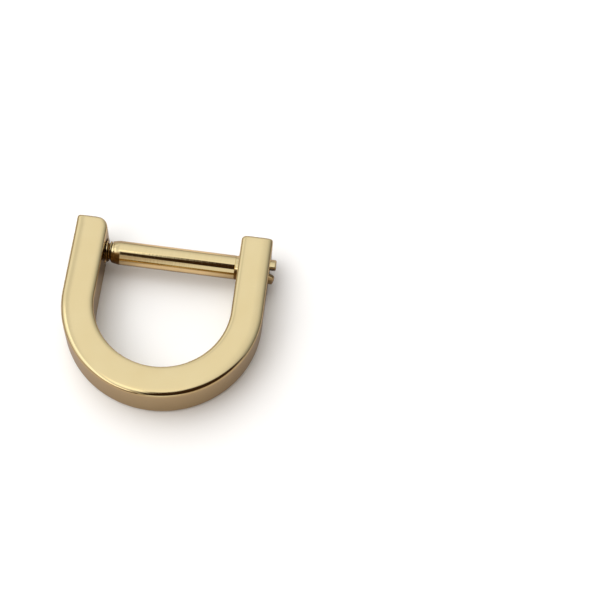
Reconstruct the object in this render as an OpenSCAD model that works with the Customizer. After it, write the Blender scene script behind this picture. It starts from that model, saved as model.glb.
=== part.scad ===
// Horseshoe D ring for a bag strap: a cast U with two ears, closed by a slotted screw bar.
// The origin is on the bar's axis, midway between the ears. X runs along the bar towards its
// slotted end, Y towards the ears' free ends, and Z is up with the ring lying on its side.

/* [Ring] */
// Clear width between the ears, which is the width of the strap
strap_w = 20; // [14:0.5:32]
// Width of the wall, seen from above
wall_w = 4.7; // [4:0.1:7]
// Thickness of the ring as it lies
ring_t = 6.6; // [5.6:0.1:9]
// Straight length of each leg, from the bar's axis to the round crown
leg_l = 8.5; // [6:0.1:16]
// Length of each ear past the bar's axis
ear_l = 4.1; // [3.6:0.1:7]

/* [Buffed edges] */
// Radius of the long edges and of the edges round each ear's end
edge_r = 0.6; // [0.2:0.05:0.9]
// Radius of the inner corner at the tapped ear's end
tapped_corner_r = 1.8; // [0.3:0.1:2.2]
// Radius of the inner corner at the plain ear's end
plain_corner_r = 0.7; // [0.3:0.1:1.8]
// Radius of the outer corners at both ears' ends
outer_corner_r = 0.5; // [0.3:0.1:1.8]
// Chamfer at each mouth of both holes
mouth_c = 0.15; // [0.05:0.05:0.3]

/* [Screw bar] */
// Diameter of the plain bar
bar_d = 3.6; // [3:0.1:4.2]
// How much smaller the thread's crests are than the plain bar, in radius
thread_step = 0.24; // [0:0.02:0.3]
// Depth of the thread
thread_depth = 0.35; // [0.15:0.05:0.4]
// Distance from one thread crest to the next
thread_pitch = 0.6; // [0.5:0.05:0.8]
// Width of the relief groove between the thread and the shoulder
relief_w = 0.1; // [0.05:0.05:0.8]
// Length of the tapered shoulder between the groove and the plain bar
shoulder_l = 1.4; // [0.5:0.1:1.8]
// How far the tip stops short of the tapped ear's outer face with the screw home
tip_short = 0.1; // [0:0.05:0.5]
// How far the screw stands backed off from home
backed_off = 1; // [0:0.1:2.5]
// How much larger the slotted end is than the plain bar, in radius
head_step = 0.05; // [0:0.01:0.15]
// Depth of the waist between the plain bar and the slotted end
waist_depth = 0.15; // [0.05:0.05:0.3]
// Length of the waist, from the plain bar to where the slotted end has its full diameter
waist_l = 0.65; // [0.55:0.05:1]
// How far the slotted end stands out of the plain ear
head_out = 0.9; // [0:0.1:2]
// Chamfer round the slotted end and the tip
end_c = 0.2; // [0.1:0.05:0.4]

/* [Screwdriver slot] */
// Width of the slot
slot_w = 0.6; // [0.4:0.05:1]
// Depth of the slot
slot_l = 1.4; // [0.6:0.1:2]
// Turn of the slot about the bar, from level
slot_turn = 115; // [0:5:180]

/* [Fits] */
// Gap between the slotted end and the plain ear's hole, all round
head_gap = 0.05; // [0.02:0.01:0.09]
// Gap between the thread's crests and the tapped ear's hole, all round
thread_gap = 0.05; // [0.02:0.01:0.09]

/* [Hidden] */
$fn = 96;

// Half of the strap's width, which is also the crown's inner radius
inner_r = strap_w / 2;
// Middle of the wall, from the ring's middle line
wall_mid = inner_r + wall_w / 2;
// Outer face of each ear
outer_x = inner_r + wall_w;
// Length that a cutting shape runs on past the face it opens
past = 1;

bar_r = bar_d / 2;
thread_r = bar_r - thread_step;
root_r = thread_r - thread_depth;
head_r = bar_r + head_step;
plain_hole_r = head_r + head_gap;
tapped_hole_r = thread_r + thread_gap;

// Places along the screw, from its tip to its slotted end
shoulder_x = -inner_r + backed_off;
bar_x = shoulder_x + shoulder_l;
relief_x = shoulder_x - relief_w;
thread_l = wall_w - tip_short - relief_w;
tip_x = relief_x - thread_l;
bar_end_x = inner_r - waist_l;
waist_r = bar_r - waist_depth;
// The waist's far side rises at 45 degrees to the slotted end, which starts at the plain ear
waist_x = inner_r - (head_r - waist_r);
head_x = outer_x + head_out;

// Thread crests that fit between the tip's chamfer and the relief groove
crests = floor((thread_l - end_c) / thread_pitch);
crest_x0 = relief_x - crests * thread_pitch;
// Flat on each crest and in each root, as shares of the pitch
crest_share = 1 / 8;
root_share = 1 / 4;
flank_share = (1 - crest_share - root_share) / 2;

// Rectangle about the origin, with its four corners rounded
module rounded_rectangle(w, h, r) {
    square([w, h - 2 * r], center = true);
    square([w - 2 * r, h], center = true);
    for (x = [-1, 1], y = [-1, 1])
        translate([x * (w / 2 - r), y * (h / 2 - r)])
            circle(r);
}

// Ear from above: a strip from the crown to its free end, with its own radius at each corner
module ear_plan(inner_corner, outer_corner) {
    widest = max(inner_corner, outer_corner);
    translate([inner_r, -leg_l])
        square([wall_w, leg_l + ear_l - widest]);
    translate([inner_r + inner_corner, 0])
        square([wall_w - inner_corner - outer_corner, ear_l]);
    translate([inner_r + inner_corner, ear_l - inner_corner])
        circle(inner_corner);
    translate([outer_x - outer_corner, ear_l - outer_corner])
        circle(outer_corner);
    translate([inner_r, 0])
        square([inner_corner, ear_l - inner_corner]);
    translate([outer_x - outer_corner, 0])
        square([outer_corner, ear_l - outer_corner]);
}

// Ear from the side: a strip whose free end has its upper and lower edges rounded
module ear_side() {
    translate([-leg_l, -ring_t / 2])
        square([leg_l + ear_l - edge_r, ring_t]);
    translate([0, -ring_t / 2 + edge_r])
        square([ear_l, ring_t - 2 * edge_r]);
    for (side = [-1, 1])
        translate([ear_l - edge_r, side * (ring_t / 2 - edge_r)])
            circle(edge_r);
}

// One straight leg with its ear, on the side of positive X
module leg(inner_corner) {
    intersection() {
        translate([wall_mid, ear_l, 0])
            rotate([90, 0, 0])
                linear_extrude(height = leg_l + ear_l)
                    rounded_rectangle(wall_w, ring_t, edge_r);
        linear_extrude(height = ring_t + past, center = true)
            ear_plan(inner_corner, outer_corner_r);
        translate([inner_r - past / 2, 0, 0])
            rotate([90, 0, 90])
                linear_extrude(height = wall_w + past)
                    ear_side();
    }
}

// Half turn of the same section, closing the two legs
module crown() {
    translate([0, -leg_l, 0])
        rotate([0, 0, 180])
            rotate_extrude(angle = 180)
                translate([wall_mid, 0])
                    rounded_rectangle(wall_w, ring_t, edge_r);
}

// Hole through one ear along X, with a chamfer at each mouth
module ear_hole(r, x) {
    translate([x, 0, 0])
        rotate([0, 90, 0]) {
            cylinder(r = r, h = wall_w + past, center = true);
            for (side = [0, 1])
                mirror([0, 0, side])
                    translate([0, 0, wall_w / 2 - mouth_c])
                        cylinder(r1 = r, r2 = r + mouth_c + past, h = mouth_c + past);
        }
}

// The cast body: crown and two legs in one piece, one ear tapped and one bored plain
module ring_body() {
    color("#E3CC96")
        difference() {
            union() {
                crown();
                leg(plain_corner_r);
                mirror([1, 0, 0])
                    leg(tapped_corner_r);
            }
            ear_hole(plain_hole_r, wall_mid);
            ear_hole(tapped_hole_r, -wall_mid);
        }
}

// One crest of the thread as [radius, place along the screw], from root to root
function crest(x) = [
    [root_r, x + thread_pitch * root_share / 2],
    [thread_r, x + thread_pitch * (root_share / 2 + flank_share)],
    [thread_r, x + thread_pitch * (root_share / 2 + flank_share + crest_share)],
    [root_r, x + thread_pitch * (1 - root_share / 2)]
];

// Half outline of the whole screw as [radius, place along the screw]
function screw_outline() = concat(
    [[0, tip_x], [root_r - end_c, tip_x], [root_r, tip_x + end_c]],
    [for (i = [0 : crests - 1]) each crest(crest_x0 + i * thread_pitch)],
    [
        [root_r, shoulder_x],
        [thread_r, shoulder_x],
        [bar_r, bar_x],
        [bar_r, bar_end_x],
        [waist_r, waist_x],
        [head_r, inner_r],
        [head_r, head_x - end_c],
        [head_r - end_c, head_x],
        [0, head_x]
    ]
);

// The turned screw: thread, relief groove, tapered shoulder, plain bar and slotted end
module screw_bar() {
    color("#D9BE84")
        difference() {
            rotate([0, 90, 0])
                rotate_extrude()
                    polygon(screw_outline());
            translate([head_x, 0, 0])
                rotate([slot_turn, 0, 0])
                    cube([2 * slot_l, 2 * head_r + past, slot_w], center = true);
        }
}

ring_body();
screw_bar();
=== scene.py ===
import math

import bmesh
import bpy
from mathutils import Matrix, Vector


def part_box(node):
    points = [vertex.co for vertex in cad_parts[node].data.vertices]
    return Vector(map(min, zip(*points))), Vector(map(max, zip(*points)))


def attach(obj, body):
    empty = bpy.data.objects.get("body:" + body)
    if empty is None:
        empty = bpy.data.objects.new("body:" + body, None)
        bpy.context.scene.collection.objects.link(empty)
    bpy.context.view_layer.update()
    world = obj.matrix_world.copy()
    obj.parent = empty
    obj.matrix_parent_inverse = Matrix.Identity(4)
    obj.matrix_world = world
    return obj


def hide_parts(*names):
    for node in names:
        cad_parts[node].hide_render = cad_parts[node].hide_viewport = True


# A horseshoe D ring for a bag strap, closed by a slotted screw bar, lying on its side on a white
# sheet. The cast ring and the turned screw are buffed and plated pale gold. Lengths are in
# millimetres, and become metres when a mesh or a light is made.
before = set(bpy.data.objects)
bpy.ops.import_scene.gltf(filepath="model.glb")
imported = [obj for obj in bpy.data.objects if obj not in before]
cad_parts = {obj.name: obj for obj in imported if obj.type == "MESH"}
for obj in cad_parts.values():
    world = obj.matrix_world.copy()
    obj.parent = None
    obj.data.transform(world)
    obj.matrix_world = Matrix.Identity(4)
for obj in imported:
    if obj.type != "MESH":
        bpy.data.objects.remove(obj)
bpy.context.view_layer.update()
MM = 0.001

# Outside sizes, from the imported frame
RING_LOW, RING_HIGH = (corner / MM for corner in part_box("ring_body"))
SCREW_LOW, SCREW_HIGH = (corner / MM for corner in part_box("screw_bar"))
OUTER_X = RING_HIGH.x
EAR_END_Y = RING_HIGH.y
HALF_T = RING_HIGH.z
ARC_Y = RING_LOW.y + OUTER_X
TIP_X = SCREW_LOW.x
HEAD_X = SCREW_HIGH.x
FLOOR_Z = RING_LOW.z

# Cast ring
WALL_W = 4.7
WALL_MID = OUTER_X - WALL_W / 2
INNER_X = OUTER_X - WALL_W
# A buffed edge rolls off from the flat face in wide arcs, turns tightly, and meets the wall in
# one more. Each arc is (radius, turn in degrees), from the middle of its own side outwards.
FACE_ROLL = ((9.0, 8), (2.4, 6), (1.0, 18))
WALL_ROLL = ((4.0, 6),)
TIGHT_R = 0.35
# Corners of the ears seen from above, and the roll over their ends seen from the side
TAPPED_CORNER_R = 1.8
PLAIN_CORNER_R = 0.7
OUTER_CORNER_R = 0.5
END_ROLL_R = 0.6
# How much tighter the buffed edges get over the ears' ends, as a share
END_TIGHTENING = 0.6
PLAIN_HOLE_R = 1.9
TAPPED_HOLE_R = 1.61
TAPPED_ROOT_R = 1.9
# Reach of the countersink at each hole's two mouths
PLAIN_MOUTH = 0.1
TAPPED_MOUTH = 0.36

# Turned screw
BAR_R = 1.8
CREST_R = 1.58
ROOT_R = 1.22
HEAD_R = 1.85
WAIST_R = 1.765
PITCH = 0.6
# Place of a crest of the thread in line with the screwdriver slot
CREST_X = -9.13
TIP_CHAMFER = 0.2
RELIEF_X = -9.05
SHOULDER_X = -8.97
BAR_X = -7.62
BAR_END_X = 9.5
WAIST_X = 9.6
SLOT_W = 0.6
SLOT_L = 1.4
SLOT_TURN = math.radians(112)
# Radius that wear has left along the slot's edges and round the slotted end, and how far inside
# the ear the slot's edges turn that round
PRONG_ROLL = 0.3
HEAD_ROLL = 0.22
PRONG_HIDDEN = 0.1
# The lower prong is worn most: how far its side along the slot, and its end's outer rim, slope off
SLOT_WEAR = 0.35
RIM_WEAR = 0.3
# Reach of the tiny break that tumbling leaves on each turned edge
TUMBLED = 0.06
# Lengths over which a thread runs out at the screw's tip, at its relief groove and in the ear
TIP_RUNOUT = 0.45
RELIEF_RUNOUT = 0.08
HOLE_RUNOUT = 0.3
# Foot and top of the thread's flank, as shares of the way from its root's middle to its crest's
FLANK = (0.25, 0.85)

# How finely the surfaces are divided
SIDE_STEPS = 24
CORNER_STEPS = 8
END_STEPS = 16
LEG_STEPS = 14
ARC_STEPS = 120
APPROACH_STEPS = 8
COUNTERSINK_STEPS = 4
CLOSING_STEPS = 4
THREAD_STEP = 0.05
# Points closer than this are welded, and a crease is sharp from this angle on
WELD = 0.002
SHARP = math.radians(35)


def span(start, stop, steps):
    """Evenly spaced values from start to stop, both included."""
    return [start + (stop - start) * i / steps for i in range(steps + 1)]


def smooth_step(low, high, value):
    """0 up to low and 1 from high on, with a smooth rise between them."""
    t = min(1.0, max(0.0, (value - low) / (high - low)))
    return t * t * (3 - 2 * t)


def skin(bm, rows, closed=False, skip=None):
    """Skins a table of points with quads, leaving out the cells that skip picks."""
    verts = [[bm.verts.new(Vector(point) * MM) for point in row] for row in rows]
    for i in range(len(rows) - 1):
        count = len(rows[i])
        for j in range(count if closed else count - 1):
            k = (j + 1) % count
            if not (skip and skip(i, j)):
                bm.faces.new((verts[i][j], verts[i][k], verts[i + 1][k], verts[i + 1][j]))


def finished_piece(name, bm, node, body, material):
    """Welds the skins into one closed mesh and puts it in its node's place on its body."""
    bmesh.ops.remove_doubles(bm, verts=bm.verts, dist=WELD * MM)
    loose = [vert for vert in bm.verts if not vert.link_faces]
    bmesh.ops.delete(bm, geom=loose, context="VERTS")
    bmesh.ops.recalc_face_normals(bm, faces=bm.faces)
    mesh = bpy.data.meshes.new(name)
    bm.to_mesh(mesh)
    bm.free()
    mesh.shade_smooth()
    mesh.set_sharp_from_angle(angle=SHARP)
    mesh.materials.append(material)
    piece = bpy.data.objects.new(name, mesh)
    bpy.context.scene.collection.objects.link(piece)
    even = piece.modifiers.new("even_shading", "WEIGHTED_NORMAL")
    even.keep_sharp = True
    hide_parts(node)
    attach(piece, body)


def closing_rings(rim):
    """Rings of points from a rim to its middle, which close it with a face."""
    middle = sum((Vector(point) for point in rim), Vector()) / len(rim)
    return [[Vector(point).lerp(middle, t) for point in rim] for t in span(0, 1, CLOSING_STEPS)]


# Mesh of the cast ring

def roll_turn(roll):
    """The whole turn of a side's wide arcs, in radians."""
    return math.radians(sum(turn for _, turn in roll))


def roll_length(roll):
    """How far a side's wide arcs reach along it."""
    length, tilt = 0.0, 0.0
    for radius, turn in roll:
        stop = tilt + math.radians(turn)
        length += radius * (math.sin(stop) - math.sin(tilt))
        tilt = stop
    return length


def roll_drop(past, roll):
    """How far a side has fallen away at a distance past the start of its wide arcs."""
    drop, tilt = 0.0, 0.0
    for radius, turn in roll:
        stop = tilt + math.radians(turn)
        reached = min(max(past, 0.0), radius * (math.sin(stop) - math.sin(tilt)))
        angle = math.asin(math.sin(tilt) + reached / radius)
        drop += radius * (math.cos(tilt) - math.cos(angle))
        past -= reached
        tilt = stop
    return drop


def tight_reach(own, other):
    """How far from the corner the tight turn takes over from a side's own wide arcs."""
    turn = math.cos(roll_turn(other)) - math.sin(roll_turn(own))
    return TIGHT_R * turn + roll_drop(roll_length(other), other)


def side_drop(along, half, own, other, scale=1.0):
    """How far a side of that half width has fallen away at a place along it."""
    start = half / scale - tight_reach(own, other) - roll_length(own)
    return scale * roll_drop(abs(along) / scale - start, own)


def rolled_side(half, own, other, scale):
    """One side of the section and the tight turn after it, as (along, outward) from its middle."""
    reach = half - tight_reach(own, other) * scale
    points = [(a, -side_drop(a, half, own, other, scale)) for a in span(-reach, reach, SIDE_STEPS)]
    radius = TIGHT_R * scale
    first, last = roll_turn(own), math.pi / 2 - roll_turn(other)
    centre_along = reach - radius * math.sin(first)
    centre_out = points[-1][1] - radius * math.cos(first)
    for angle in span(first, last, CORNER_STEPS)[1:-1]:
        points.append((
            centre_along + radius * math.sin(angle), centre_out + radius * math.cos(angle),
        ))
    return points


def wall_section(low, high, half_t, scale):
    """Section of the wall as (across, up), up its inner side first and then round."""
    mid, half_w = (low + high) / 2, (high - low) / 2
    sides = (
        ((low, 0), (0, 1), (-1, 0), half_t, WALL_ROLL, FACE_ROLL),
        ((mid, half_t), (1, 0), (0, 1), half_w, FACE_ROLL, WALL_ROLL),
        ((high, 0), (0, -1), (1, 0), half_t, WALL_ROLL, FACE_ROLL),
        ((mid, -half_t), (-1, 0), (0, -1), half_w, FACE_ROLL, WALL_ROLL),
    )
    loop = []
    for (across, up), walk, outward, half, own, other in sides:
        for along, out in rolled_side(half, own, other, scale):
            loop.append((
                across + walk[0] * along + outward[0] * out,
                up + walk[1] * along + outward[1] * out,
            ))
    return loop


SIDE_COLUMNS = SIDE_STEPS + CORNER_STEPS
# Window left open in each ear's walls, which the skin round the hole fills
WINDOW_Y = 2.2
WINDOW_Z = HALF_T - tight_reach(WALL_ROLL, FACE_ROLL)


def round_off(from_end, radius):
    """How far a corner of that radius has pulled in at a distance from the ear's end."""
    if from_end >= radius:
        return 0.0
    return radius - math.sqrt(radius ** 2 - (radius - from_end) ** 2)


def ring_rows():
    """Sections of the ring from the tapped ear's end, round the crown, to the plain ear's end."""
    # Each station is a place on the wall's middle line, the way out from the opening, and the
    # radius of the ear's inner corner
    easing = span(0, math.pi / 2, END_STEPS)
    leg = [EAR_END_Y - TAPPED_CORNER_R * (1 - math.cos(a)) for a in easing]
    leg += span(WINDOW_Y, -WINDOW_Y, SIDE_STEPS)
    leg += span(-WINDOW_Y, ARC_Y, LEG_STEPS)[1:]
    stations = [(-WALL_MID, y, -1, 0, TAPPED_CORNER_R) for y in leg]
    for angle in span(math.pi, 2 * math.pi, ARC_STEPS)[1:-1]:
        out_x, out_y = math.cos(angle), math.sin(angle)
        stations.append((WALL_MID * out_x, ARC_Y + WALL_MID * out_y, out_x, out_y, 0))
    stations += [(WALL_MID, y, 1, 0, PLAIN_CORNER_R) for y in reversed(leg)]
    rows = []
    for x, y, out_x, out_y, inner_corner_r in stations:
        from_end = EAR_END_Y - y
        roll = round_off(from_end, END_ROLL_R)
        low = -WALL_W / 2 + round_off(from_end, inner_corner_r)
        high = WALL_W / 2 - round_off(from_end, OUTER_CORNER_R)
        scale = (1 - END_TIGHTENING * roll / END_ROLL_R) * (high - low) / WALL_W
        section = wall_section(low, high, HALF_T - roll, scale)
        rows.append([(x + out_x * across, y + out_y * across, up) for across, up in section])
    return rows


def in_window(row, column, last_row):
    """Whether a cell of the ring's skin lies in the window round either hole, on either wall."""
    from_ear = min(row, last_row - row)
    first = END_STEPS + 1
    on_wall = column < SIDE_STEPS or 0 <= column - 2 * SIDE_COLUMNS < SIDE_STEPS
    return on_wall and first <= from_ear < first + SIDE_STEPS


def thread_ridge(x, angle):
    """Height of a right-handed thread's ridge, from 0 in its root to 1 on its crest. The angle is
    measured from the screwdriver slot's own direction."""
    phase = ((x - CREST_X) / PITCH - angle / (2 * math.pi)) % 1.0
    return smooth_step(*FLANK, abs(2 * phase - 1))


def hole_rows(side, radius, countersink, tapped):
    """Rings of points from the inner wall's window, through the hole, to the outer wall's."""
    ys, zs = span(-WINDOW_Y, WINDOW_Y, SIDE_STEPS), span(-WINDOW_Z, WINDOW_Z, SIDE_STEPS)
    window = [(WINDOW_Y, z) for z in zs[:-1]] + [(y, WINDOW_Z) for y in ys[:0:-1]]
    window += [(-WINDOW_Y, z) for z in zs[:0:-1]] + [(y, -WINDOW_Z) for y in ys[:-1]]
    angles = [2 * math.pi * i / len(window) - math.pi / 4 for i in range(len(window))]
    mouth = radius + countersink

    def ring(wall, flat_points, depth):
        """One ring, at a depth behind the wall's own surface; wall is -1 inside, 1 outside."""
        points = []
        for y, z in flat_points:
            half = WALL_W / 2 - side_drop(z, HALF_T, WALL_ROLL, FACE_ROLL) - depth
            points.append((side * (WALL_MID + wall * half), y, z))
        return points

    def approach(wall):
        """Rings from one wall's window to the foot of the hole's countersink."""
        rings = []
        for t in span(0, 1, APPROACH_STEPS):
            flat = [
                (y + (mouth * math.cos(a) - y) * t, z + (mouth * math.sin(a) - z) * t)
                for (y, z), a in zip(window, angles)
            ]
            rings.append(ring(wall, flat, 0))
        for depth in span(0, countersink, COUNTERSINK_STEPS)[1:]:
            r = mouth - depth
            flat = [(r * math.cos(a), r * math.sin(a)) for a in angles]
            rings.append(ring(wall, flat, depth))
        return rings

    bore = []
    if tapped:
        half = WALL_W / 2 - countersink
        for across in span(-half, half, round(2 * half / THREAD_STEP))[1:-1]:
            x = side * (WALL_MID + across)
            runout = smooth_step(0, HOLE_RUNOUT, half - abs(across))
            points = []
            for a in angles:
                r = radius + (TAPPED_ROOT_R - radius) * runout * thread_ridge(x, a - SLOT_TURN)
                points.append((x, r * math.cos(a), r * math.sin(a)))
            bore.append(points)
    return approach(-1) + bore + approach(1)[::-1]


def build_ring(material):
    """The horseshoe's skin with its ends closed, and the skins round and through both holes."""
    bm = bmesh.new()
    rows = ring_rows()
    last_cell = len(rows) - 2
    skin(bm, rows, closed=True, skip=lambda i, j: in_window(i, j, last_cell))
    for ear_end in (rows[0], rows[-1]):
        skin(bm, closing_rings(ear_end), closed=True)
    skin(bm, hole_rows(-1, TAPPED_HOLE_R, TAPPED_MOUTH, True), closed=True)
    skin(bm, hole_rows(1, PLAIN_HOLE_R, PLAIN_MOUTH, False), closed=True)
    finished_piece("cast_ring", bm, "ring_body", "ring", material)


# Mesh of the turned screw

SLOT_HALF_ANGLE = math.asin(SLOT_W / 2 / HEAD_R)
SLOT_FLOOR_X = HEAD_X - SLOT_L
LAND_STEPS = 44
SLOT_MOUTH_STEPS = 4
PRONG_STEPS = 6
ROLL_STEPS = 6
TUMBLED_STEPS = 4
# Plain root between the tip's chamfer and the first of the thread
TIP_ROOT_L = 0.1
# Shallow mark on the shoulder: its place in line with the slot, its lead, depth and width
DIE_MARK_X = -8.62
DIE_MARK_LEAD = 1.5
DIE_MARK_DEPTH = 0.03
DIE_MARK_W = 0.16
DIE_MARK_STEP = 0.05
# Angles from the slot's direction between which the mark fades out
DIE_MARK_FADE = (0.6, 2.2)
# 1 for a straight cone, and more for a shoulder that bulges
SHOULDER_BULGE = 1.7


def tumbled(outline):
    """An outline of (x, radius) with each of its corners broken by a tiny curve."""
    points = [Vector(point) for point in outline]
    broken = [points[0]]
    for before, corner, after in zip(points, points[1:], points[2:]):
        back, on = before - corner, after - corner
        start = corner + back.normalized() * min(TUMBLED, back.length / 3)
        stop = corner + on.normalized() * min(TUMBLED, on.length / 3)
        for t in span(0, 1, TUMBLED_STEPS):
            broken.append(start.lerp(corner, t).lerp(corner.lerp(stop, t), t))
    return broken + [points[-1]]


def on_screw(x, radius, angle):
    """A point on the screw, its angle measured from the screwdriver slot's own direction."""
    turn = angle + SLOT_TURN
    return (x, radius * math.cos(turn), radius * math.sin(turn))


def lathe_angles():
    """Angles once round, with a point at each edge of the slot's two mouths."""
    half = SLOT_HALF_ANGLE
    land = span(half, math.pi - half, LAND_STEPS)[:-1]
    mouth = span(math.pi - half, math.pi + half, SLOT_MOUTH_STEPS)[:-1]
    half_turn = land + mouth
    return half_turn + [angle + math.pi for angle in half_turn]


def prong_section(x, inset, roll, flip, wear):
    """Outline of one prong beside the slot: its outer arc, a rolled edge, its straight side along
    the slot, and the other rolled edge. It is drawn in from the full size by the inset, and from
    the slot by the wear."""
    radius, side = HEAD_R - inset, SLOT_W / 2 + inset + wear
    reach = radius - roll
    first = math.asin((side + roll) / reach)
    loop = [on_screw(x, radius, a + flip) for a in span(first, math.pi - first, LAND_STEPS)]

    def rolled_edge(middle, start, stop):
        """Rolled edge about a point that lies at that angle."""
        for turn in span(start, stop, ROLL_STEPS):
            along = reach * math.cos(middle) + roll * math.cos(turn)
            across = reach * math.sin(middle) + roll * math.sin(turn)
            loop.append(on_screw(x, math.hypot(along, across), math.atan2(across, along) + flip))

    rolled_edge(math.pi - first, math.pi - first, 3 * math.pi / 2)
    far = Vector(loop[-1])
    near_along = reach * math.cos(first)
    near = Vector(on_screw(x, math.hypot(near_along, side), math.atan2(side, near_along) + flip))
    loop += [far.lerp(near, t) for t in span(0, 1, LAND_STEPS)]
    rolled_edge(first, -math.pi / 2, first)
    return loop


def worn_back(point, share):
    """A point of the worn prong, pushed back along the screw the nearer it lies to the rim."""
    x, y, z = point
    outward = max(0.0, z * math.cos(SLOT_TURN) - y * math.sin(SLOT_TURN)) / HEAD_R
    return (x - RIM_WEAR * share * outward ** 2, y, z)


def die_mark(x, angle):
    """Depth of the shallow mark, winding back along the shoulder, where the die ran out."""
    off_line = x - DIE_MARK_X - DIE_MARK_LEAD * angle / (2 * math.pi)
    share = 1 - smooth_step(*DIE_MARK_FADE, abs(angle))
    return DIE_MARK_DEPTH * share * (1 - smooth_step(0, DIE_MARK_W / 2, abs(off_line)))


def screw_rows():
    """Rings of points from the screw's tip, over thread, shoulder, bar and waist, to the slot."""
    angles = lathe_angles()
    thread_start = TIP_X + TIP_CHAMFER
    first_x = thread_start + TIP_ROOT_L
    rows = [[on_screw(x, r, a) for a in angles] for x, r in tumbled([
        (TIP_X, 0), (TIP_X, ROOT_R - TIP_CHAMFER), (thread_start, ROOT_R), (first_x, ROOT_R),
    ])]
    for x in span(first_x, RELIEF_X, round((RELIEF_X - first_x) / THREAD_STEP))[1:-1]:
        runout = smooth_step(0, TIP_RUNOUT, x - thread_start)
        runout *= smooth_step(0, RELIEF_RUNOUT, RELIEF_X - x)
        rows.append([
            on_screw(x, ROOT_R + (CREST_R - ROOT_R) * runout * thread_ridge(x, a), a)
            for a in angles
        ])
    for x, r in tumbled([(RELIEF_X, ROOT_R), (SHOULDER_X, ROOT_R), (SHOULDER_X, CREST_R)])[:-1]:
        rows.append([on_screw(x, r, a) for a in angles])
    shoulder_l = BAR_X - SHOULDER_X
    for x in span(SHOULDER_X, BAR_X, round(shoulder_l / DIE_MARK_STEP))[:-1]:
        climb = 1 - (1 - (x - SHOULDER_X) / shoulder_l) ** SHOULDER_BULGE
        r = CREST_R + (BAR_R - CREST_R) * climb
        rows.append([
            on_screw(x, r - die_mark(x, math.remainder(a, 2 * math.pi)), a) for a in angles
        ])
    body = tumbled([
        (BAR_X - DIE_MARK_STEP / 2, BAR_R), (BAR_X, BAR_R), (BAR_END_X, BAR_R),
        (WAIST_X, WAIST_R), (INNER_X, HEAD_R), (SLOT_FLOOR_X, HEAD_R),
    ])[1:]
    return rows + [[on_screw(x, r, a) for a in angles] for x, r in body]


def slot_floor():
    """Rows of points across the slot's floor, from one prong's foot to the other's."""
    mouths = zip(
        span(SLOT_HALF_ANGLE, -SLOT_HALF_ANGLE, SLOT_MOUTH_STEPS),
        span(math.pi - SLOT_HALF_ANGLE, math.pi + SLOT_HALF_ANGLE, SLOT_MOUTH_STEPS),
    )
    floor = []
    for near, far in mouths:
        first = Vector(on_screw(SLOT_FLOOR_X, HEAD_R, near))
        last = Vector(on_screw(SLOT_FLOOR_X, HEAD_R, far))
        floor.append([first.lerp(last, t) for t in span(0, 1, LAND_STEPS)])
    return floor


def prong_rows(flip, worn):
    """Outlines of one prong, sharp at its foot inside the ear and rolled over at its end. The worn
    prong slopes off more and more from the ear's face on."""
    stations = [(SLOT_FLOOR_X, 0, 0)]
    straight = span(OUTER_X - PRONG_HIDDEN, HEAD_X - HEAD_ROLL, PRONG_STEPS)
    stations += [(x, 0, PRONG_ROLL) for x in straight]
    for turn in span(0, math.pi / 2, ROLL_STEPS)[1:]:
        x = HEAD_X - HEAD_ROLL * (1 - math.sin(turn))
        stations.append((x, HEAD_ROLL * (1 - math.cos(turn)), PRONG_ROLL))
    prong = []
    for x, inset, roll in stations:
        share = max(0.0, (x - OUTER_X) / (HEAD_X - OUTER_X)) if worn else 0.0
        section = prong_section(x, inset, roll, flip, SLOT_WEAR * share)
        prong.append([worn_back(point, share) for point in section])
    return prong


def build_screw(material):
    """The lathe-turned body up to the slot, the slot's floor, and the two prongs beside it."""
    bm = bmesh.new()
    skin(bm, screw_rows(), closed=True)
    skin(bm, slot_floor())
    for flip, worn in ((0, True), (math.pi, False)):
        prong = prong_rows(flip, worn)
        skin(bm, prong, closed=True)
        skin(bm, closing_rings(prong[-1]), closed=True)
    finished_piece("turned_screw", bm, "screw_bar", "screw", material)


# Finishes

def linear(hex_colour):
    """sRGB hex to the linear colour that a shader takes."""
    channels = [int(hex_colour[i:i + 2], 16) / 255 for i in (1, 3, 5)]
    return [c / 12.92 if c <= 0.04045 else ((c + 0.055) / 1.055) ** 2.4 for c in channels] + [1.0]


def add(tree, kind, inputs=None, **settings):
    """Adds one node with its settings. An input is a value, or a socket to link it to."""
    node = tree.nodes.new(kind)
    for key, value in settings.items():
        setattr(node, key, value)
    for key, value in (inputs or {}).items():
        if isinstance(value, bpy.types.NodeSocket):
            tree.links.new(value, node.inputs[key])
        else:
            node.inputs[key].default_value = value
    return node


def new_material(name):
    """An empty material, its node tree, and the place on the piece in millimetres."""
    material = bpy.data.materials.new(name)
    material.use_nodes = True
    tree = material.node_tree
    tree.nodes.clear()
    place = add(tree, "ShaderNodeTexCoord").outputs["Object"]
    in_mm = add(tree, "ShaderNodeVectorMath", {0: place, "Scale": 1 / MM}, operation="SCALE")
    return material, tree, in_mm.outputs["Vector"]


# Painted shade: a dull brown put into threads, holes and slots, and onto the screw's low side,
# where they lie in shade or mirror it
PAINTED_SHADE_TONE = "#7E5F33"
PAINTED_SHADE_ROUGHNESS = 0.3


def dark_where(tree, colour, roughness, masks):
    """Colour and roughness of a plated surface, turned to the painted shade's dull brown where any
    of the masks is 1."""
    dark = masks[0]
    for mask in masks[1:]:
        dark = add(tree, "ShaderNodeMath", {0: dark, 1: mask}, operation="MAXIMUM").outputs[0]
    tone = add(tree, "ShaderNodeMix", {
        "Factor": dark, "A": colour, "B": linear(PAINTED_SHADE_TONE),
    }, data_type="RGBA")
    dulled = add(tree, "ShaderNodeMix", {"Factor": dark, "A": roughness, "B": PAINTED_SHADE_ROUGHNESS})
    return tone.outputs["Result"], dulled.outputs["Result"]


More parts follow.
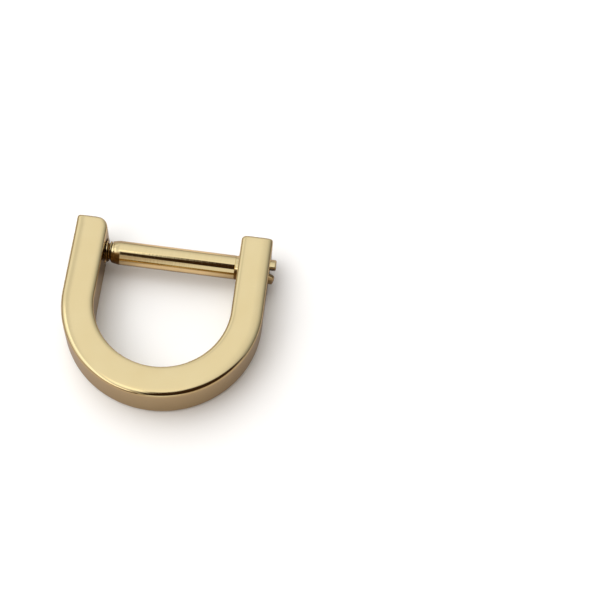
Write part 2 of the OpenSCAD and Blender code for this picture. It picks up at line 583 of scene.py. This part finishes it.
def from_axis(tree, place):
    """Distance from the screw's axis, in millimetres."""
    across = add(tree, "ShaderNodeVectorMath", {0: place, 1: (0, 1, 1)}, operation="MULTIPLY")
    reach = add(tree, "ShaderNodeVectorMath", {0: across.outputs["Vector"]}, operation="LENGTH")
    return reach.outputs["Value"]


def fade(tree, value, full, none):
    """1 where the value has reached full, and 0 where it has reached none."""
    return add(tree, "ShaderNodeMapRange", {
        "Value": value, "From Min": none, "From Max": full,
    }, interpolation_type="SMOOTHSTEP").outputs["Result"]


def gold_plated_zinc():
    """Zinc casting, buffed on a soft wheel and plated pale gold: a mirror with a faint ripple
    a few millimetres long and a haze of wheel lines that only blurs what it mirrors."""
    material, tree, place = new_material("gold_plated_zinc")
    ripple = add(tree, "ShaderNodeTexNoise", {"Vector": place, "Scale": 1 / 3.5, "Detail": 1.0})
    # Wheel lines are some 0.05 mm apart; drawn at 0.3 mm so that they show at all
    lines = add(tree, "ShaderNodeMapping", {"Vector": place, "Scale": (1 / 0.3, 1 / 6, 1 / 0.3)})
    haze = add(tree, "ShaderNodeTexNoise", {
        "Vector": lines.outputs["Vector"], "Scale": 1.0, "Detail": 3.0,
    })
    roughness = add(tree, "ShaderNodeMapRange", {
        "Value": haze.outputs["Fac"],
        "From Min": 0.3, "From Max": 0.7, "To Min": 0.09, "To Max": 0.13,
    })
    tone = add(tree, "ShaderNodeMix", {
        "Factor": ripple.outputs["Fac"], "A": linear("#EAD5A2"), "B": linear("#EEDCAC"),
    }, data_type="RGBA")
    # Painted shade: both holes' bores and mouths are turned the dull dark brown
    mouth_r = TAPPED_HOLE_R + TAPPED_MOUTH
    in_hole = fade(tree, from_axis(tree, place), mouth_r - 0.05, mouth_r)
    colour, rough = dark_where(tree, tone.outputs["Result"], roughness.outputs["Result"], [in_hole])
    bump = add(tree, "ShaderNodeBump", {
        "Height": ripple.outputs["Fac"], "Strength": 0.25, "Distance": 0.03 * MM,
    })
    metal = add(tree, "ShaderNodeBsdfPrincipled", {
        "Base Color": colour, "Metallic": 1.0, "Roughness": rough, "Normal": bump.outputs["Normal"],
    })
    add(tree, "ShaderNodeOutputMaterial", {"Surface": metal.outputs["BSDF"]})
    return material


def slot_painted_shade(tree, place, along_x):
    """1 on the slot's floor and sides, also where the lower prong's side slopes off with wear:
    painted shade of the slot.
    """
    off_slot = add(tree, "ShaderNodeVectorMath", {
        0: place, 1: (0, -math.sin(SLOT_TURN), math.cos(SLOT_TURN)),
    }, operation="DOT_PRODUCT").outputs["Value"]
    wear = add(tree, "ShaderNodeMapRange", {
        "Value": along_x, "From Min": OUTER_X, "From Max": HEAD_X, "To Max": SLOT_WEAR,
    }).outputs["Result"]
    lower = add(tree, "ShaderNodeMath", {0: off_slot, 1: wear}, operation="SUBTRACT").outputs[0]
    upper = add(tree, "ShaderNodeMath", {0: off_slot, 1: -1.0}, operation="MULTIPLY").outputs[0]
    off_side = add(tree, "ShaderNodeMath", {0: lower, 1: upper}, operation="MAXIMUM").outputs[0]
    return add(tree, "ShaderNodeMath", {
        0: fade(tree, off_side, SLOT_W / 2 + 0.1, SLOT_W / 2 + 0.4),
        1: fade(tree, along_x, SLOT_FLOOR_X, SLOT_FLOOR_X - 0.05),
    }, operation="MULTIPLY").outputs[0]


def low_side_painted_shade(tree, place, along_x):
    """Masks of the screw's low side, painted dark as the shade that it mirrors there: from high up
    on the shoulder, from lower down on the waist, and half as strong on the prongs."""
    low_side = add(tree, "ShaderNodeVectorMath", {
        0: place, 1: (0, -0.85, -0.5),
    }, operation="DOT_PRODUCT").outputs["Value"]
    low_shoulder = add(tree, "ShaderNodeMath", {
        0: fade(tree, low_side, 0.05, -0.32), 1: fade(tree, along_x, BAR_X - 0.12, BAR_X + 0.02),
    }, operation="MULTIPLY").outputs[0]
    on_prongs = add(tree, "ShaderNodeMath", {
        0: fade(tree, along_x, OUTER_X, OUTER_X - 0.2), 1: 0.5,
    }, operation="MULTIPLY").outputs[0]
    off_barrel = add(tree, "ShaderNodeMath", {
        0: fade(tree, along_x, INNER_X, INNER_X + 0.2), 1: on_prongs,
    }, operation="MAXIMUM").outputs[0]
    past_bar = add(tree, "ShaderNodeMath", {
        0: fade(tree, along_x, WAIST_X, BAR_END_X), 1: off_barrel,
    }, operation="MULTIPLY").outputs[0]
    low_waist = add(tree, "ShaderNodeMath", {
        0: fade(tree, low_side, 0.5, 0.0), 1: past_bar,
    }, operation="MULTIPLY").outputs[0]
    return low_shoulder, low_waist


def gold_plated_steel():
    """Free-cutting steel, turned on a small lathe, barrel polished and plated pale gold: brighter
    and sharper than the casting, with faint rings left round it by the tool."""
    material, tree, place = new_material("gold_plated_steel")
    # Tool rings are some 0.04 mm apart along the bar; drawn at 0.25 mm so that they show at all
    along = add(tree, "ShaderNodeMapping", {"Vector": place, "Scale": (1 / 0.25, 1 / 8, 1 / 8)})
    rings = add(tree, "ShaderNodeTexNoise", {
        "Vector": along.outputs["Vector"], "Scale": 1.0, "Detail": 2.0,
    })
    roughness = add(tree, "ShaderNodeMapRange", {
        "Value": rings.outputs["Fac"],
        "From Min": 0.3, "From Max": 0.7, "To Min": 0.05, "To Max": 0.09,
    })
    tone = add(tree, "ShaderNodeMix", {
        "Factor": rings.outputs["Fac"], "A": linear("#EAD5A2"), "B": linear("#EEDCAC"),
    }, data_type="RGBA")
    along_x = add(tree, "ShaderNodeSeparateXYZ", {"Vector": place}).outputs["X"]
    # Painted shade: the thread's roots, the slot and the screw's low side are turned the dull dark
    # brown
    in_thread = add(tree, "ShaderNodeMath", {
        0: fade(tree, from_axis(tree, place), CREST_R - 0.2, CREST_R - 0.04),
        1: fade(tree, along_x, SHOULDER_X, SHOULDER_X + 0.05),
    }, operation="MULTIPLY").outputs[0]
    masks = [in_thread, slot_painted_shade(tree, place, along_x), *low_side_painted_shade(tree, place, along_x)]
    colour, rough = dark_where(tree, tone.outputs["Result"], roughness.outputs["Result"], masks)
    bump = add(tree, "ShaderNodeBump", {
        "Height": rings.outputs["Fac"], "Strength": 0.2, "Distance": 0.01 * MM,
    })
    metal = add(tree, "ShaderNodeBsdfPrincipled", {
        "Base Color": colour, "Metallic": 1.0, "Roughness": rough, "Normal": bump.outputs["Normal"],
    })
    add(tree, "ShaderNodeOutputMaterial", {"Surface": metal.outputs["BSDF"]})
    return material


def painted_sheet_glow(tree, place):
    """Painted glow that the metal sees on the sheet, standing in for the light that the sheet
    throws back. The ring and its bar shade the sheet beside them, so the glow is dimmer there, as
    painted shade, and strongest in the ring's middle."""
    from_arc = add(tree, "ShaderNodeVectorMath", {0: place, 1: (0, -ARC_Y, 0)}, operation="ADD")
    from_arc = add(tree, "ShaderNodeSeparateXYZ", {"Vector": from_arc.outputs["Vector"]}).outputs
    in_front = add(tree, "ShaderNodeMath", {
        0: from_arc["Y"], 1: 0.0,
    }, operation="MINIMUM").outputs[0]
    off_middle = add(tree, "ShaderNodeVectorMath", {
        0: add(tree, "ShaderNodeCombineXYZ", {"X": from_arc["X"], "Y": in_front}).outputs["Vector"],
    }, operation="LENGTH").outputs["Value"]
    in_ring = add(tree, "ShaderNodeMapRange", {
        "Value": off_middle,
        "From Min": 4.5, "From Max": 9.5, "To Min": 0.4, "To Max": 0.05,
    }).outputs["Result"]
    along_y = add(tree, "ShaderNodeSeparateXYZ", {"Vector": place}).outputs["Y"]
    off_bar = add(tree, "ShaderNodeMath", {0: along_y}, operation="ABSOLUTE").outputs[0]
    in_ring = add(tree, "ShaderNodeMath", {
        0: in_ring, 1: fade(tree, off_bar, 5.0, 1.0),
    }, operation="MULTIPLY").outputs[0]
    round_ring = add(tree, "ShaderNodeMapRange", {
        "Value": off_middle,
        "From Min": OUTER_X, "From Max": 20.0, "To Min": 0.02, "To Max": 0.12,
    }).outputs["Result"]
    return add(tree, "ShaderNodeMath", {0: in_ring, 1: round_ring}, operation="ADD").outputs[0]


def white_vinyl():
    """Matt white vinyl sheet, rolled out flat: even, with a very faint mottle. It is lit to a clean
    white, while the metal mirrors a darker warm-grey copy of it, as painted shade, with a painted
    glow."""
    material, tree, place = new_material("white_vinyl")
    mottle = add(tree, "ShaderNodeTexNoise", {"Vector": place, "Scale": 1 / 12, "Detail": 3.0})
    tone = add(tree, "ShaderNodeMix", {
        "Factor": mottle.outputs["Fac"], "A": linear("#EFEFEF"), "B": linear("#F3F3F2"),
    }, data_type="RGBA")
    # Painted shade: rays from the metal see a darker warm-grey copy of the sheet
    mirrored = add(tree, "ShaderNodeLightPath").outputs["Is Glossy Ray"]
    seen = add(tree, "ShaderNodeMix", {
        "Factor": mirrored, "A": tone.outputs["Result"], "B": linear("#958A84"),
    }, data_type="RGBA")
    # Painted glow: only rays from the metal see the sheet glow
    fill = add(tree, "ShaderNodeMath", {
        0: mirrored, 1: painted_sheet_glow(tree, place),
    }, operation="MULTIPLY")
    sheet = add(tree, "ShaderNodeBsdfPrincipled", {
        "Base Color": seen.outputs["Result"], "Roughness": 0.75, "Specular IOR Level": 0.2,
        "Emission Color": linear("#FFEBDD"), "Emission Strength": fill.outputs[0],
    })
    add(tree, "ShaderNodeOutputMaterial", {"Surface": sheet.outputs["BSDF"]})
    return material


# Studio

def lay_sheet():
    """White sheet under the ring, some two metres across."""
    bm = bmesh.new()
    bmesh.ops.create_grid(bm, x_segments=8, y_segments=8, size=1000 * MM)
    mesh = bpy.data.meshes.new("white_sheet")
    bm.to_mesh(mesh)
    bm.free()
    mesh.materials.append(white_vinyl())
    sheet = bpy.data.objects.new("white_sheet", mesh)
    sheet.location.z = FLOOR_Z * MM
    bpy.context.scene.collection.objects.link(sheet)


# The light tent round the ring, which the metal mirrors. Each card is seen from the ring as
# slopes away from the way it faces: (outside, inside, inside, outside) across it and along it,
# where a soft edge lies between outside and inside. A later card hangs in front of an earlier one.
FACING = {
    "up": ("Z", 1, "X", "Y"),
    "front": ("Y", -1, "X", "Z"),
}
CARDS = (
    # Dim room in front, beyond the tent
    ("front", (-9, -3, 3, 9), (-0.5, 0.0, 2.2, 2.8), (0.44, 0.36, 0.30)),
    # Gap under the tent's left panel, and the panel itself
    ("up", (-9.0, -6.0, -1.1, -0.8), (-0.9, -0.6, 2.5, 3.5), (0.42, 0.39, 0.34)),
    ("up", (-1.7, -1.2, -0.62, -0.48), (-0.7, -0.5, 1.0, 2.0), (0.92, 0.92, 0.92)),
    # Seam between the tent's roof and its left panel
    ("up", (-0.62, -0.5, -0.42, -0.3), (0.0, 0.25, 1.2, 2.0), (0.76, 0.76, 0.76)),
    # Dark corner of the room, in front on the left
    ("front", (-0.64, -0.52, -0.28, -0.2), (-0.6, -0.3, 1.25, 1.6), (0.085, 0.05, 0.02)),
    # White card low in front
    ("front", (-0.14, -0.07, 0.12, 0.6), (0.02, 0.27, 0.86, 1.25), (0.84, 0.82, 0.80)),
    # Half shade round the camera's stand, and the black card that the lens looks through
    ("up", (-0.26, -0.2, 0.9, 1.7), (-1.2, -0.9, -0.1, 0.06), (0.74, 0.73, 0.71)),
    ("up", (-0.24, -0.15, 0.9, 1.7), (-1.08, -0.95, -0.36, -0.22), (0.034, 0.017, 0.005)),
    ("up", (-0.12, -0.06, 0.9, 1.7), (-1.14, -1.04, -0.04, 0.06), (0.034, 0.014, 0.004)),
    # Edge of the roof's lamp, a bright line over the black card, which hangs lower on the left
    ("up", (-0.2, -0.14, 0.0, 0.1), (-0.06, 0.02, 0.08, 0.2), (1.04, 1.02, 0.98)),
    ("up", (-0.36, -0.28, -0.12, -0.1), (-0.22, -0.15, -0.02, 0.1), (1.45, 1.4, 1.32)),
    # Lamp's bright patch on the left panel, and its reach towards the front
    ("up", (-0.95, -0.8, -0.56, -0.46), (-0.8, -0.68, 0.34, 0.46), (1.4, 1.4, 1.4)),
    ("up", (-0.95, -0.75, -0.37, -0.29), (-0.95, -0.85, -0.6, -0.5), (1.6, 1.52, 1.46)),
)
# Brightness of the tent by height, as (height of the direction, brightness)
TENT = (
    (-1.0, 0.8), (-0.1, 0.3), (0.0, 0.2), (0.1, 0.4),
    (0.26, 0.66), (0.5, 0.8), (0.71, 0.9), (1.0, 0.95),
)
# Brightness of the tent where it is seen itself, and how much more of its light the sheet takes
BACKDROP = 0.9
ON_SHEET = 1.6


def card_mask(tree, way, facing, across, along):
    """1 where a direction meets the card, with the card's soft edges."""
    axis, sign, right, up = FACING[facing]
    depth = add(tree, "ShaderNodeMath", {0: way[axis], 1: float(sign)}, operation="MULTIPLY")
    mask = add(tree, "ShaderNodeMapRange", {
        "Value": depth.outputs[0], "From Min": 0.02, "From Max": 0.08,
    }).outputs["Result"]
    for side, edges in ((right, across), (up, along)):
        slope = add(tree, "ShaderNodeMath", {0: way[side], 1: depth.outputs[0]}, operation="DIVIDE")
        for outside, inside in ((edges[0], edges[1]), (edges[3], edges[2])):
            mask = add(tree, "ShaderNodeMath", {
                0: mask, 1: fade(tree, slope.outputs[0], inside, outside),
            }, operation="MULTIPLY").outputs[0]
    return mask


def hang_tent():
    """World of soft light that the metal mirrors: pale by height, dim on the right, with cards."""
    world = bpy.data.worlds.new("light_tent")
    bpy.context.scene.world = world
    world.use_nodes = True
    tree = world.node_tree
    tree.nodes.clear()
    way = add(tree, "ShaderNodeSeparateXYZ", {
        "Vector": add(tree, "ShaderNodeTexCoord").outputs["Generated"],
    }).outputs
    height = add(tree, "ShaderNodeMapRange", {"Value": way["Z"], "From Min": -1.0})
    ramp = add(tree, "ShaderNodeValToRGB", {"Fac": height.outputs["Result"]})
    stops = ramp.color_ramp.elements
    for place, _ in TENT[1:-1]:
        stops.new((place + 1) / 2)
    for stop, (place, brightness) in zip(stops, TENT):
        stop.position = (place + 1) / 2
        stop.color = (brightness, brightness, brightness, 1)
    # The tent's right side is open, and darkens towards the room
    open_side = add(tree, "ShaderNodeMapRange", {
        "Value": way["X"], "From Min": 0.04, "From Max": 0.8, "To Min": 1.0, "To Max": 0.24,
    })
    light = add(tree, "ShaderNodeMath", {
        0: ramp.outputs["Color"], 1: open_side.outputs["Result"],
    }, operation="MULTIPLY").outputs[0]
    for facing, across, along, brightness in CARDS:
        mask = card_mask(tree, way, facing, across, along)
        light = add(tree, "ShaderNodeMix", {
            "Factor": mask, "A": light, "B": (*brightness, 1.0),
        }, data_type="RGBA").outputs["Result"]
    # The tent itself is seen as a plain pale backdrop
    rays = add(tree, "ShaderNodeLightPath").outputs
    light = add(tree, "ShaderNodeMix", {
        "Factor": rays["Is Camera Ray"], "A": light, "B": (BACKDROP, BACKDROP, BACKDROP, 1.0),
    }, data_type="RGBA").outputs["Result"]
    # The sheet takes more light from the tent than the metal mirrors, so that it is a clean white
    strength = add(tree, "ShaderNodeMapRange", {
        "Value": rays["Is Diffuse Ray"], "To Min": 1.0, "To Max": ON_SHEET,
    })
    sky = add(tree, "ShaderNodeBackground", {
        "Color": light, "Strength": strength.outputs["Result"],
    })
    add(tree, "ShaderNodeOutputWorld", {"Surface": sky.outputs["Background"]})


def hang_lamp():
    """Wide soft lamp over the left and the far side, for the shadows. It isn't mirrored."""
    lamp = bpy.data.lights.new("soft_lamp", "SUN")
    lamp.energy = 1.8
    lamp.angle = math.radians(90)
    holder = bpy.data.objects.new("soft_lamp", lamp)
    towards = Vector((-0.6, 0.24, 0.77))
    holder.rotation_euler = towards.to_track_quat("Z", "Y").to_euler()
    holder.visible_glossy = False
    bpy.context.scene.collection.objects.link(holder)


# Where the camera stands, the way it looks, and which way is up in the picture, all fitted to the
# ring's edges
CAMERA_PLACE = Vector((18.66, -91.16, 189.21))
CAMERA_VIEW = Vector((0.0054, 0.4185, -0.9082))
CAMERA_UP = Vector((-0.1265, 0.9012, 0.4145))


def set_camera():
    """Long lens, high in front of the ring and turned a little."""
    lens = bpy.data.cameras.new("camera")
    lens.sensor_width = 36
    lens.lens = 84
    lens.clip_start = 10 * MM
    camera = bpy.data.objects.new("camera", lens)
    back = -CAMERA_VIEW.normalized()
    right = CAMERA_UP.cross(back).normalized()
    turn = Matrix((right, back.cross(right), back)).transposed()
    camera.matrix_world = Matrix.Translation(CAMERA_PLACE * MM) @ turn.to_4x4()
    bpy.context.scene.collection.objects.link(camera)
    bpy.context.scene.camera = camera
    bpy.context.scene.view_settings.view_transform = "Standard"


set_camera()
hang_tent()
hang_lamp()
lay_sheet()
build_ring(gold_plated_zinc())
build_screw(gold_plated_steel())
